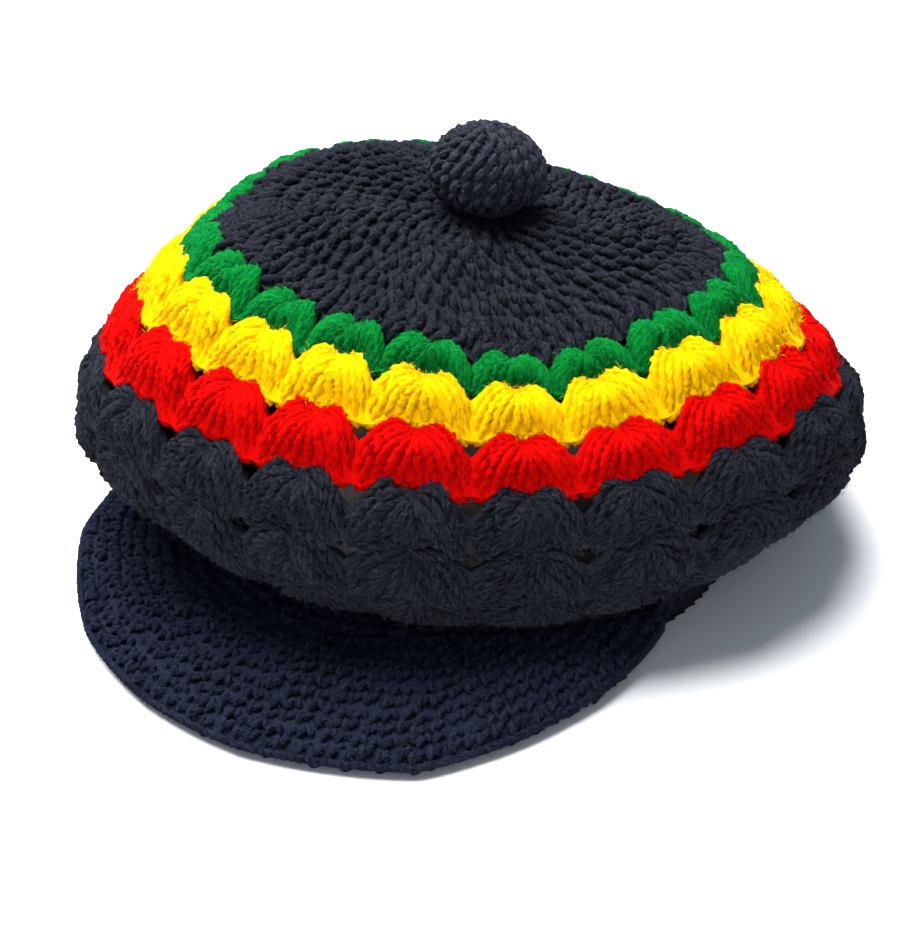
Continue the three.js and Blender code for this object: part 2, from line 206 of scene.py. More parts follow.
# The posts of half a shell. Each goes from the base notch to the lower edge through five places:
# across (share of the half shell), down (share of its height), lift (share of the yarn's rise).
POSTS = np.array((
    ((0.03, 0.01, 0.0), (0.30, 0.04, 0.7), (0.62, 0.08, 1.0), (0.86, 0.24, 0.8), (0.97, 0.52, 0.1)),
    ((0.04, 0.03, 0.0), (0.32, 0.15, 0.8), (0.62, 0.27, 1.0), (0.84, 0.52, 0.8), (0.96, 0.82, 0.1)),
    ((0.04, 0.05, 0.0), (0.30, 0.26, 0.8), (0.56, 0.45, 1.0), (0.76, 0.72, 0.9), (0.88, 0.98, 0.2)),
    ((0.04, 0.06, 0.0), (0.24, 0.34, 0.8), (0.43, 0.56, 1.0), (0.58, 0.78, 0.9), (0.67, 1.01, 0.2)),
    ((0.03, 0.07, 0.0), (0.15, 0.40, 0.8), (0.28, 0.62, 1.0), (0.38, 0.81, 0.9), (0.45, 1.04, 0.2)),
    ((0.02, 0.08, 0.0), (0.05, 0.44, 0.8), (0.10, 0.66, 1.0), (0.14, 0.83, 0.9), (0.17, 1.04, 0.2)),
))
# The loops along a shell's lower edge: across (share of the half shell), down at their two ends.
LOOPS = np.array((
    (-0.68, 1.02, 0.88), (-0.24, 0.90, 1.01), (0.22, 1.01, 0.89), (0.66, 0.88, 1.03),
))
# How far the yarn's posts may stray: across, down, lift.
POST_PLAY = (0.012, 0.03, 0.16)
# Share of the fuzz on pieces that are hidden in part.
FUZZ_SHARE = {"head_band": 0.12, "black_round_4": 0.3, "black_round_3": 0.7, "peak": 0.75}
# How far the wall of a piece is drawn in behind its stitches, in metres. Deeper looks looser.
ROUND_INSET = 0.0008
CORE_INSET = {
    "yellow_round": 0.0003, "red_round": 0.0003, "crown_disc": 0.0019,
    "head_band": 0.0017, "peak": 0.0010, "top_button": 0.0011,
}


# The part's surfaces: each takes arrays and gives points

def crown_profile():
    """The crown's profile: name of each row's round, and columns out, up, lean, run in metres."""
    rise = CROWN_HEIGHT - RIM_HEIGHT
    drop = RIM_HEIGHT - FOLD_HEIGHT
    inward = FOLD_RADIUS - CROWN_RADIUS
    rows = [(n, o * CROWN_RADIUS, RIM_HEIGHT + u * rise, 1.0) for o, u, n in TOP_ROWS]
    rows += [(n, CROWN_RADIUS + i * inward, FOLD_HEIGHT + u * drop, l) for i, u, l, n in UNDER_ROWS]
    rows.append(("end", BAND_RADIUS - BAND_THICKNESS, FOLD_HEIGHT, 0.0))
    names = [row[0] for row in rows]
    table = np.array([row[1:] for row in rows])
    run = np.concatenate(([0], np.cumsum(np.hypot(*np.diff(table[:, :2], axis=0).T))))
    return names, np.column_stack((table, run))


PROFILE_NAMES, PROFILE = crown_profile()
RUN_OF = {name: PROFILE[i, 3] for i, name in enumerate(PROFILE_NAMES) if name}


def read_lie(deg):
    """Radius, rise, crest and turn of the soft crown at each angle, read smoothly."""
    place = np.mod(deg, 360) / 30
    index = np.floor(place).astype(int) % 12
    t = (place - np.floor(place))[..., None]
    a, b = LIE_ROWS[index], LIE_ROWS[(index + 1) % 12]
    slope_a = (b - LIE_ROWS[index - 1]) / 2
    slope_b = (LIE_ROWS[(index + 2) % 12] - a) / 2
    value = a * (2 * t**3 - 3 * t**2 + 1) + slope_a * (t**3 - 2 * t**2 + t)
    value += b * (3 * t**2 - 2 * t**3) + slope_b * (t**3 - t**2)
    return np.moveaxis(value, -1, 0)


def crown_points(deg, run, depth):
    """Points of the crown: angle round it, run along its profile, depth out of the wall's middle."""
    deg, run, depth = np.broadcast_arrays(deg, run, depth)
    limit = PROFILE[-1, 3]

    def read(column, at):
        return np.interp(np.clip(at, 0, limit), PROFILE[:, 3], PROFILE[:, column])

    reach = 1.25 * CROWN_WALL
    d_out = read(0, run + reach) - read(0, run - reach)
    d_up = read(1, run + reach) - read(1, run - reach)
    along = np.hypot(d_out, d_up)
    out = read(0, run) - depth * d_up / along
    up = read(1, run) + depth * d_out / along
    lean = read(2, run)
    wide, high, crest, turn = read_lie(deg)
    angle = np.radians(deg + lean * turn)
    radius = out * (1 + lean * (wide - 1))
    rise = high * CROWN_HEIGHT - TILT_RADIUS * math.tan(CROWN_TILT) * np.sin(angle)
    share = lean * np.clip(out / TILT_RADIUS, 0, 1)
    disc, shoulder = RUN_OF["green_round"], RUN_OF["black_round_1"]
    pull = np.clip(1 - run / disc, 0, None)
    fall = np.clip(1 - (run - disc) / (shoulder - disc), 0, 1)
    swell = np.where(run < disc, np.sin(np.clip(run / disc, 0, 1) * math.pi / 2) ** 2, fall)
    return np.stack((
        CENTRE[0] + lean * CROWN_SHIFT[0] + pull * CENTRE_PULL[0] + radius * np.cos(angle),
        CENTRE[1] + lean * CROWN_SHIFT[1] + pull * CENTRE_PULL[1] + radius * np.sin(angle),
        up + share * rise + swell * crest * CROWN_HEIGHT,
    ), axis=-1)


def smooth_paths(places, steps):
    """Smooth rows of points through each row of places: path by place by column."""
    count = places.shape[1]
    at = np.linspace(0, count - 1, steps + 1)
    i = np.minimum(at.astype(int), count - 2)
    t = (at - i)[None, :, None]
    p0, p1 = places[:, np.maximum(i - 1, 0)], places[:, i]
    p2, p3 = places[:, i + 1], places[:, np.minimum(i + 2, count - 1)]
    return 0.5 * (2 * p1 + (p2 - p0) * t + (2 * p0 - 5 * p1 + 4 * p2 - p3) * t**2
                  + (3 * p1 - p0 - 3 * p2 + p3) * t**3)


SHELL = smooth_paths(SHELL_ROWS[None], 30)[0]


def upper_edge(name, at):
    """Run of a round's upper edge at a place across its shell."""
    scallop = np.interp(at, SHELL[:, 0], SHELL[:, 1])
    return RUN_OF[name] + scallop * ROUNDS[name][0] * SCALLOP_DEPTH


def lower_edge(name, at):
    """Run of a round's lower edge: the next round's upper edge less the hole over it."""
    after = ROUNDS[name][3]
    if after is None:
        return np.full_like(np.asarray(at, float), PROFILE[-1, 3])
    hole = np.interp(at, SHELL_ROWS[:, 0], SHELL_ROWS[:, 2])
    return upper_edge(after, at) - hole * ROUNDS[after][1] * HOLE_DEPTH


def puff_depth(name, at, down):
    """How far a shell's wall stands out at a place across and down it."""
    if ROUNDS[name][3] is None:
        return np.zeros_like(at)
    share = np.interp(at, SHELL[:, 0], SHELL[:, 3])
    return share * np.clip(1 - np.abs(2 * down - 1), 0, 1) * SHELL_PUFF


def band_points(deg, height, depth):
    """Points of the head band: depth is counted out from the middle of its wall."""
    deg, height, depth = np.broadcast_arrays(deg, height, depth)
    radius = BAND_RADIUS - BAND_THICKNESS / 2 + depth
    angle = np.radians(deg)
    return np.stack((
        CENTRE[0] + radius * np.cos(angle), CENTRE[1] + radius * np.sin(angle), height), axis=-1)


def peak_reach(deg):
    """How far the peak reaches out from the band at each angle from the front."""
    return np.interp(deg, PEAK_ROWS[:, 0], PEAK_ROWS[:, 1]) * PEAK_LENGTH


def peak_points(deg, inward, depth, face):
    """Points of the peak: angle from the front, way in from its edge, depth out of the upper
    face (face 1) or the lower face (face 2)."""
    deg, inward, depth = np.broadcast_arrays(deg, inward, depth)
    reach = peak_reach(deg)
    across = np.clip(1 - inward / reach, 0, 1)
    root = np.interp(deg, PEAK_ROWS[:, 0], PEAK_ROWS[:, 3]) * PEAK_ROOT_RISE
    rise = np.interp(deg, PEAK_ROWS[:, 0], PEAK_ROWS[:, 2]) * PEAK_SIDE_RISE
    lift = np.interp(across, PEAK_SECTION[:, 0], PEAK_SECTION[:, face]) * PEAK_THICKNESS
    side = 1 if face == 1 else -1
    height = root + (rise - root) * np.minimum(1, across / PEAK_RISE_END) + lift + side * depth
    radius = BAND_RADIUS + across * reach
    angle = np.radians(deg - 90)
    return np.stack((
        CENTRE[0] + radius * np.cos(angle), CENTRE[1] + radius * np.sin(angle), height), axis=-1)


def peak_top(deg, inward, depth):
    """Points of the peak's upper face."""
    return peak_points(deg, inward, depth, 1)


def peak_bottom(deg, inward, depth):
    """Points of the peak's lower face."""
    return peak_points(deg, inward, depth, 2)


def button_profile():
    """The button's profile: columns out, up and run in metres, from its foot to its top."""
    table = BUTTON_ROWS * (BUTTON_RADIUS, BUTTON_HEIGHT)
    run = np.concatenate(([0], np.cumsum(np.hypot(*np.diff(table, axis=0).T))))
    return np.column_stack((table, run))


BUTTON = button_profile()


def button_points(deg, run, depth):
    """Points of the button: run from its foot up to its top, depth out of its face."""
    deg, run, depth = np.broadcast_arrays(deg, run, depth)

    def read(column, at):
        return np.interp(at, BUTTON[:, 2], BUTTON[:, column])

    reach = 0.002
    d_out = read(0, run + reach) - read(0, run - reach)
    d_up = read(1, run + reach) - read(1, run - reach)
    along = np.hypot(d_out, d_up)
    out = read(0, run) + depth * d_up / along
    up = read(1, run) - depth * d_out / along
    base = crown_points(0.0, 0.0, CROWN_WALL / 2 + BUTTON_GAP)
    lean = up / BUTTON_HEIGHT
    angle = np.radians(deg)
    return np.stack((
        base[0] + lean * BUTTON_LEAN[0] + out * np.cos(angle),
        base[1] + lean * BUTTON_LEAN[1] + out * np.sin(angle),
        base[2] + up,
    ), axis=-1)


# Guide paths of the yarn

class Strands:
    """The guide paths of one piece: short rows of points with the yarn's thickness at each."""

    def __init__(self, seed):
        self.random = np.random.default_rng(seed)
        self.points, self.thick, self.tone, self.edges = [], [], [], []
        self.count = 0

    def jitter(self, shape, size):
        """Random numbers from -size to size, drawn in the order of the calls."""
        return self.random.uniform(-size, size, shape)

    def add(self, points, width=1.0, blunt=0.93):
        """Adds paths as an array of path by point by xyz. The yarn narrows at both ends, and
        would end in a point if blunt were 1."""
        paths, steps = points.shape[:2]
        points[..., 2] = np.maximum(points[..., 2], CAD_BOX[0][2] + GUIDE_CLEARANCE)
        t = np.linspace(-1, 1, steps)
        thick = width * np.sqrt(1 - (blunt * t) ** 2)
        index = self.count + np.arange(paths * steps).reshape(paths, steps)
        self.points.append(points.reshape(-1, 3))
        self.thick.append(np.tile(thick, paths))
        self.tone.append(np.repeat(self.random.uniform(0, 1, paths), steps))
        self.edges.append(np.stack((index[:, :-1], index[:, 1:]), axis=-1).reshape(-1, 2))
        self.count += paths * steps

    def slanted(self, surface, u, v, du, dv, low, rise, steps=4, width=1.0, tip=0.0):
        """Short strands on a surface: u, v their middles, du, dv half their reach, low and rise
        their depth, tip how much higher their far end lies than their middle."""
        t = np.linspace(-1, 1, steps + 1)
        u, v, du, dv, low = (np.asarray(x, float)[..., None]
                             for x in np.broadcast_arrays(u, v, du, dv, low))
        self.add(surface(u + du * t, v + dv * t, low + rise * (1 - t**2) + tip * t), width)

    def mesh(self, name):
        """The guide paths as loose edges, with the attributes that the yarn tree reads."""
        data = bpy.data.meshes.new(name)
        points = np.concatenate(self.points)
        data.vertices.add(len(points))
        data.vertices.foreach_set("co", points.astype(np.float32).ravel())
        edges = np.concatenate(self.edges)
        data.edges.add(len(edges))
        data.edges.foreach_set("vertices", edges.astype(np.int32).ravel())
        for key, rows in (("thick", self.thick), ("tone", self.tone)):
            layer = data.attributes.new(key, "FLOAT", "POINT")
            layer.data.foreach_set("value", np.concatenate(rows).astype(np.float32))
        data.update()
        return data


# Node helper, yarn tree and materials

def put(tree, kind, inputs=None, **settings):
    """Adds a node with its settings. inputs gives sockets a value or another node's output."""
    made = tree.nodes.new(kind)
    for key, value in settings.items():
        setattr(made, key, value)
    for key, value in (inputs or {}).items():
        if isinstance(value, bpy.types.NodeSocket):
            tree.links.new(value, made.inputs[key])
        else:
            made.inputs[key].default_value = value
    return made


def linear(code):
    """An sRGB hex colour as linear RGBA."""
    parts = [int(code[i:i + 2], 16) / 255 for i in (0, 2, 4)]
    return [c / 12.92 if c <= 0.04045 else ((c + 0.055) / 1.055) ** 2.4 for c in parts] + [1.0]


def yarn_tree():
    """Geometry nodes that spin yarn along guide paths, add its fuzz and join the wall's core."""
    tree = bpy.data.node_groups.new("spun_yarn", "GeometryNodeTree")
    inward, outward = "INPUT", "OUTPUT"
    sockets = (
        ("Guides", inward, "NodeSocketGeometry", None),
        ("Core", inward, "NodeSocketObject", None),
        ("Yarn", inward, "NodeSocketMaterial", None),
        ("Yarn Radius", inward, "NodeSocketFloat", 0.002),
        ("Plies", inward, "NodeSocketInt", 4),
        ("Ply Depth", inward, "NodeSocketFloat", 0.14),
        ("Ply Pitch", inward, "NodeSocketFloat", 0.024),
        ("Fuzz Density", inward, "NodeSocketFloat", 20000.0),
        ("Fuzz Length", inward, "NodeSocketFloat", 0.005),
        ("Fuzz Radius", inward, "NodeSocketFloat", 0.00006),
        ("Fuzz Centre", inward, "NodeSocketVector", None),
        ("Seed", inward, "NodeSocketInt", 1),
        ("Mesh", outward, "NodeSocketGeometry", None),
    )
    for name, way, kind, value in sockets:
        socket = tree.interface.new_socket(name=name, in_out=way, socket_type=kind)
        if value is not None:
            socket.default_value = value
    given = put(tree, "NodeGroupInput").outputs

    # The plies: a ring of points, every second one drawn in.
    points_round = put(tree, "ShaderNodeMath", {0: given["Plies"], 1: 2.0}, operation="MULTIPLY")
    ring = put(tree, "GeometryNodeCurvePrimitiveCircle",
               {"Resolution": points_round.outputs[0], "Radius": 1.0})
    place = put(tree, "GeometryNodeInputPosition")
    kept = put(tree, "GeometryNodeStoreNamedAttribute",
               {"Geometry": ring.outputs[0], "Name": "around", "Value": place.outputs[0]},
               data_type="FLOAT_VECTOR", domain="POINT")
    index = put(tree, "GeometryNodeInputIndex")
    odd = put(tree, "ShaderNodeMath", {0: index.outputs[0], 1: 2.0}, operation="MODULO")
    drawn = put(tree, "ShaderNodeMath", {0: odd.outputs[0], 1: given["Ply Depth"]},
                operation="MULTIPLY")
    share = put(tree, "ShaderNodeMath", {0: 1.0, 1: drawn.outputs[0]}, operation="SUBTRACT")
    moved = put(tree, "ShaderNodeVectorMath", {0: place.outputs[0], "Scale": share.outputs[0]},
                operation="SCALE")
    plies = put(tree, "GeometryNodeSetPosition",
                {"Geometry": kept.outputs[0], "Position": moved.outputs[0]})

    # The yarn along each guide path, twisted once a pitch.
    paths = put(tree, "GeometryNodeMeshToCurve", {"Mesh": given["Guides"]})
    thick = put(tree, "GeometryNodeInputNamedAttribute", {"Name": "thick"}, data_type="FLOAT")
    tone = put(tree, "GeometryNodeInputNamedAttribute", {"Name": "tone"}, data_type="FLOAT")
    radius = put(tree, "ShaderNodeMath", {0: thick.outputs[0], 1: given["Yarn Radius"]},
                 operation="MULTIPLY")
    along = put(tree, "GeometryNodeSplineParameter")
    turns = put(tree, "ShaderNodeMath", {0: along.outputs["Length"], 1: given["Ply Pitch"]},
                operation="DIVIDE")
    begun = put(tree, "ShaderNodeMath", {0: turns.outputs[0], 1: tone.outputs[0]}, operation="ADD")
    angle = put(tree, "ShaderNodeMath", {0: begun.outputs[0], 1: math.tau}, operation="MULTIPLY")
    twisted = put(tree, "GeometryNodeSetCurveTilt",
                  {"Curve": paths.outputs[0], "Tilt": angle.outputs[0]})
    measured = put(tree, "GeometryNodeStoreNamedAttribute",
                   {"Geometry": twisted.outputs[0], "Name": "along",
                    "Value": along.outputs["Length"]}, data_type="FLOAT", domain="POINT")
    spun = put(tree, "GeometryNodeCurveToMesh",
               {"Curve": measured.outputs[0], "Profile Curve": plies.outputs[0],
                "Scale": radius.outputs[0], "Fill Caps": True})
    soft = put(tree, "GeometryNodeSetShadeSmooth", {"Geometry": spun.outputs[0]})

    # Loose fibres: short bent hairs on the yarn that faces away from the piece's middle.
    spot = put(tree, "GeometryNodeInputPosition")
    normal = put(tree, "GeometryNodeInputNormal")
    away = put(tree, "ShaderNodeVectorMath", {0: spot.outputs[0], 1: given["Fuzz Centre"]},
               operation="SUBTRACT")
    ahead = put(tree, "ShaderNodeVectorMath", {0: away.outputs[0]}, operation="NORMALIZE")
    facing = put(tree, "ShaderNodeVectorMath", {0: ahead.outputs[0], 1: normal.outputs[0]},
                 operation="DOT_PRODUCT")
    outside = put(tree, "ShaderNodeMath", {0: facing.outputs["Value"], 1: 0.35},
                  operation="GREATER_THAN")
    sown = put(tree, "GeometryNodeDistributePointsOnFaces",
               {"Mesh": soft.outputs[0], "Selection": outside.outputs[0],
                "Density": given["Fuzz Density"], "Seed": given["Seed"]})
    needle = put(tree, "GeometryNodeMeshUVSphere", {"Segments": 3, "Rings": 2, "Radius": 1.0})
    corner = put(tree, "ShaderNodeSeparateXYZ", {0: spot.outputs[0]})
    order = put(tree, "ShaderNodeCombineXYZ",
                {0: corner.outputs[2], 1: corner.outputs[0], 2: corner.outputs[1]})
    half = put(tree, "ShaderNodeMath", {0: given["Fuzz Length"], 1: 0.5}, operation="MULTIPLY")
    reach = put(tree, "ShaderNodeCombineXYZ",
                {0: half.outputs[0], 1: given["Fuzz Radius"], 2: given["Fuzz Radius"]})
    slim = put(tree, "ShaderNodeVectorMath", {0: order.outputs[0], 1: reach.outputs[0]},
               operation="MULTIPLY")
    fall = put(tree, "ShaderNodeMath", {0: corner.outputs[2], 1: -0.12, 2: 0.08},
               operation="MULTIPLY_ADD")
    arch = put(tree, "ShaderNodeMath", {0: corner.outputs[2], 1: fall.outputs[0], 2: 0.20},
               operation="MULTIPLY_ADD")
    rise = put(tree, "ShaderNodeMath", {0: arch.outputs[0], 1: given["Fuzz Length"]},
               operation="MULTIPLY")
    shift = put(tree, "ShaderNodeCombineXYZ", {0: half.outputs[0], 2: rise.outputs[0]})
    hair = put(tree, "GeometryNodeSetPosition",
               {"Geometry": needle.outputs[0], "Position": slim.outputs[0],
                "Offset": shift.outputs[0]})
    # Tone 1.8 gives the hairs the loose-fibre colour: painted sheen or painted shade, by yarn.
    bright = put(tree, "GeometryNodeStoreNamedAttribute",
                 {"Geometry": hair.outputs[0], "Name": "tone", "Value": 1.8},
                 data_type="FLOAT", domain="POINT")
    lean = put(tree, "FunctionNodeRandomValue",
               {0: (-0.5, -0.5, 0.0), 1: (0.5, 0.5, math.tau), "Seed": given["Seed"]},
               data_type="FLOAT_VECTOR")
    size = put(tree, "FunctionNodeRandomValue", {2: 0.4, 3: 1.3, "Seed": given["Seed"]},
               data_type="FLOAT")
    turned = put(tree, "FunctionNodeRotateRotation",
                 {"Rotation": sown.outputs["Rotation"],
                  "Rotate By": put(tree, "FunctionNodeEulerToRotation",
                                   {"Euler": lean.outputs[0]}).outputs[0]},
                 rotation_space="LOCAL")
    hairs = put(tree, "GeometryNodeInstanceOnPoints",
                {"Points": sown.outputs["Points"], "Instance": bright.outputs[0],
                 "Rotation": turned.outputs[0], "Scale": size.outputs[1]})
    core = put(tree, "GeometryNodeObjectInfo", {"Object": given["Core"]})
    joined = put(tree, "GeometryNodeJoinGeometry")
    for part in (hairs.outputs[0], core.outputs["Geometry"], soft.outputs[0]):
        tree.links.new(part, joined.inputs[0])
    real = put(tree, "GeometryNodeRealizeInstances", {"Geometry": joined.outputs[0]})
    end = put(tree, "ShaderNodeVectorMath", {0: spot.outputs[0], 1: (-9.0, -9.0, CAD_BOX[0][2])},
              operation="MAXIMUM")
    rested = put(tree, "GeometryNodeSetPosition",
                 {"Geometry": real.outputs[0], "Position": end.outputs[0]})
    dyed = put(tree, "GeometryNodeSetMaterial",
               {"Geometry": rested.outputs[0], "Material": given["Yarn"]})
    put(tree, "NodeGroupOutput", {0: dyed.outputs[0]})
    return tree


def acrylic_yarn(name, body, light, sheen, rough, depth, soft):
    """Spun acrylic yarn, worsted weight, four loose plies, hank dyed.

    The eye gets soft fat plies with fine fibres along them, a dull pile that is a little
    lighter where it is seen edge on, and no gloss."""
    material = bpy.data.materials.new(name)
    material.use_nodes = True
    tree = material.node_tree
    tree.nodes.clear()
    around = put(tree, "ShaderNodeAttribute", attribute_name="around")
    along = put(tree, "ShaderNodeAttribute", attribute_name="along")
    tone = put(tree, "ShaderNodeAttribute", attribute_name="tone")
    side = put(tree, "ShaderNodeSeparateXYZ", {0: around.outputs["Vector"]})
    angle = put(tree, "ShaderNodeMath", {0: side.outputs["Y"], 1: side.outputs["X"]},
                operation="ARCTAN2")
    # Painted shade: the colour darkens in the grooves between the plies, where the ring is drawn in.
    lobes = put(tree, "ShaderNodeMath", {0: angle.outputs[0], 1: 4.0}, operation="MULTIPLY")
    ply = put(tree, "ShaderNodeMath", {0: lobes.outputs[0]}, operation="COSINE")
    # Fibres lie along the plies: bundles about 0.4 mm wide and 5 mm long, drawn coarser than the
    # real 0.02 mm fibre so that they show.
    spread = put(tree, "ShaderNodeVectorMath", {0: around.outputs["Vector"], "Scale": 4.6},
                 operation="SCALE")
    spread_xy = put(tree, "ShaderNodeSeparateXYZ", {0: spread.outputs[0]})
    length = put(tree, "ShaderNodeMath", {0: along.outputs["Fac"], 1: 200.0}, operation="MULTIPLY")
    seeded = put(tree, "ShaderNodeMath", {0: tone.outputs["Fac"], 1: 37.0, 2: length.outputs[0]},
                 operation="MULTIPLY_ADD")
    grain = put(tree, "ShaderNodeCombineXYZ",
                {0: spread_xy.outputs[0], 1: spread_xy.outputs[1], 2: seeded.outputs[0]})
    fibre = put(tree, "ShaderNodeTexNoise",
                {"Vector": grain.outputs[0], "Scale": 1.0, "Detail": 4.0, "Roughness": 0.7})
    # Lint: a fine felt of loose fibres over the yarn, about 0.8 mm apart.
    where = put(tree, "ShaderNodeTexCoord")
    lint = put(tree, "ShaderNodeTexNoise",
               {"Vector": where.outputs["Object"], "Scale": 1300.0, "Detail": 3.0,
                "Roughness": 0.7, "Distortion": 0.8})
    # Dye takes a little unevenly over some 30 mm.
    dye = put(tree, "ShaderNodeTexNoise",
              {"Vector": where.outputs["Object"], "Scale": 32.0, "Detail": 1.0})
    shade = fibre.outputs[0]
    for part, weight, rest in ((fibre, 2.6, -1.75), (lint, 1.5, None), (tone, 0.2, None),
                               (dye, 0.3, None), (ply, 0.14, None)):
        value = part.outputs["Fac"] if part is not ply else ply.outputs[0]
        shade = put(tree, "ShaderNodeMath", {0: value, 1: weight, 2: shade if rest is None else rest},
                    operation="MULTIPLY_ADD", use_clamp=part is ply).outputs[0]
    colour = put(tree, "ShaderNodeMix", {0: shade, 6: linear(body), 7: linear(light)},
                 data_type="RGBA")
    # Loose fibres carry a tone above 1 and take the third colour: a painted sheen on black and green
    # yarn, where it is lighter than the yarn, and painted shade on yellow and red, where it is darker.
    loose = put(tree, "ShaderNodeMath", {0: tone.outputs["Fac"], 1: 1.0}, operation="SUBTRACT",
                use_clamp=True)
    colour = put(tree, "ShaderNodeMix", {0: loose.outputs[0], 6: colour.outputs[2], 7: linear(sheen)},
                 data_type="RGBA")
    relief = put(tree, "ShaderNodeMath", {0: fibre.outputs[0], 1: 0.5, 2: lint.outputs[0]},
                 operation="MULTIPLY_ADD")
    bump = put(tree, "ShaderNodeBump",
               {"Strength": 1.0, "Distance": depth, "Height": relief.outputs[0]})
    pile = put(tree, "ShaderNodeBsdfPrincipled",
               {"Base Color": colour.outputs[2], "Roughness": rough, "IOR": 1.46,
                "Subsurface Weight": soft, "Subsurface Scale": 0.0014,
                "Subsurface Radius": (1.0, 0.8, 0.6), "Specular IOR Level": 0.05,
                "Sheen Weight": 0.06, "Sheen Roughness": 0.55, "Sheen Tint": linear(sheen),
                "Normal": bump.outputs[0]})
    put(tree, "ShaderNodeOutputMaterial", {"Surface": pile.outputs[0]})
    return material


def studio_paint(name, code):
    """Matt emulsion paint, rolled: the eye gets a pale even floor with a trace of grain."""
    material = bpy.data.materials.new(name)
    material.use_nodes = True
    tree = material.node_tree
    tree.nodes.clear()
    where = put(tree, "ShaderNodeTexCoord")
    grain = put(tree, "ShaderNodeTexNoise",
                {"Vector": where.outputs["Object"], "Scale": 900.0, "Detail": 2.0})
    bump = put(tree, "ShaderNodeBump",
               {"Strength": 0.1, "Distance": 0.0002, "Height": grain.outputs[0]})
    paint = put(tree, "ShaderNodeBsdfPrincipled",
                {"Base Color": linear(code), "Roughness": 0.9, "Normal": bump.outputs[0]})
    put(tree, "ShaderNodeOutputMaterial", {"Surface": paint.outputs[0]})
    return material


YARNS = {
    # yarn: body colour, light fibres, loose fibres, roughness, depth of the fibres, translucence.
    # The loose fibres' colour is a painted sheen on black and green yarn and painted shade on yellow
    # and red.
    "black": ("040509", "3a3d48", "595d68", 0.96, 0.0018, 0.0),
    # Painted shade: the peak takes a bluer copy of the black yarn, standing in for the bluish shade
    # that lies on it.
    "shade_blue_black": ("070a18", "353b52", "4c556c", 0.96, 0.0016, 0.0),
    # Painted light: the button takes a lighter copy of the black yarn, standing in for the stronger
    # light on its face.
    "lit_black": ("070910", "4e5260", "70757f", 0.96, 0.0018, 0.0),
    "green": ("014911", "03983a", "1ca34a", 0.94, 0.0016, 0.2),
    "yellow": ("ffba00", "ffc900", "fcb000", 0.94, 0.0006, 0.0),
    "red": ("c80201", "d20300", "a80000", 0.94, 0.0006, 0.0),
}
# What is made once and used again: the yarn of each colour, and the yarn tree.
_made = {}


def yarn_material(yarn):
    """The yarn of one colour, made once."""
    if yarn not in _made:
        _made[yarn] = acrylic_yarn(f"acrylic_yarn_{yarn}", *YARNS[yarn])
    return _made[yarn]


def core_of(node, inset):
    """A merged copy of a CAD node, drawn in by inset, as the wall behind the stitches."""
    mesh = bmesh.new()
    mesh.from_mesh(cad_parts[node].data)
    bmesh.ops.remove_doubles(mesh, verts=mesh.verts, dist=1e-6)
    mesh.normal_update()
    moves = [(v, v.normal * inset) for v in mesh.verts]
    for vertex, move in moves:
        vertex.co -= move
    data = bpy.data.meshes.new(f"{node}_core")
    mesh.to_mesh(data)
    mesh.free()
    data.materials.clear()
    core = bpy.data.objects.new(f"{node}_core", data)
    bpy.context.scene.collection.objects.link(core)
    return core


def spin(node, strands, yarn, seed):
    """Spins one piece's yarn along its guides, and puts the piece in place of its CAD node."""
    sizes = bpy.context.scene.tam_yarn
    if strands.count == 0:
        raise RuntimeError(f"{node} has no guide paths")
    if "tree" not in _made:
        _made["tree"] = yarn_tree()
    tree = _made["tree"]
    core = core_of(node, CORE_INSET.get(node, ROUND_INSET))
    name = f"{node}_crochet"
    piece = bpy.data.objects.new(name, strands.mesh(name))
    bpy.context.scene.collection.objects.link(piece)
    modifier = piece.modifiers.new("yarn", "NODES")
    modifier.node_group = tree
    values = {
        "Core": core, "Yarn": yarn_material(yarn), "Yarn Radius": sizes.yarn_width / 2,
        "Plies": sizes.plies, "Ply Depth": sizes.ply_depth, "Ply Pitch": sizes.ply_pitch,
        "Fuzz Density": sizes.fuzz_per_cm2 * 1e4 * FUZZ_SHARE.get(node, 1.0),
        "Fuzz Length": sizes.fuzz_length, "Fuzz Radius": sizes.fuzz_width / 2, "Seed": seed,
        "Fuzz Centre": (*CENTRE, -0.3 if node == "peak" else 0.05),
    }
    for item in tree.interface.items_tree:
        if item.in_out == "INPUT" and item.name in values:
            modifier[item.identifier] = values[item.name]
    piece.update_tag()
    graph = bpy.context.evaluated_depsgraph_get()
    graph.update()
    made = bpy.data.meshes.new_from_object(piece.evaluated_get(graph))
    piece.modifiers.clear()
    piece.data = made
    made.name = name
    bpy.data.objects.remove(core)
    if len(made.polygons) < 100:
        raise RuntimeError(f"{node} came out with {len(made.polygons)} faces")
    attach(piece, "root")
    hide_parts(node)
    return piece


# Sizes and colours that a user may change

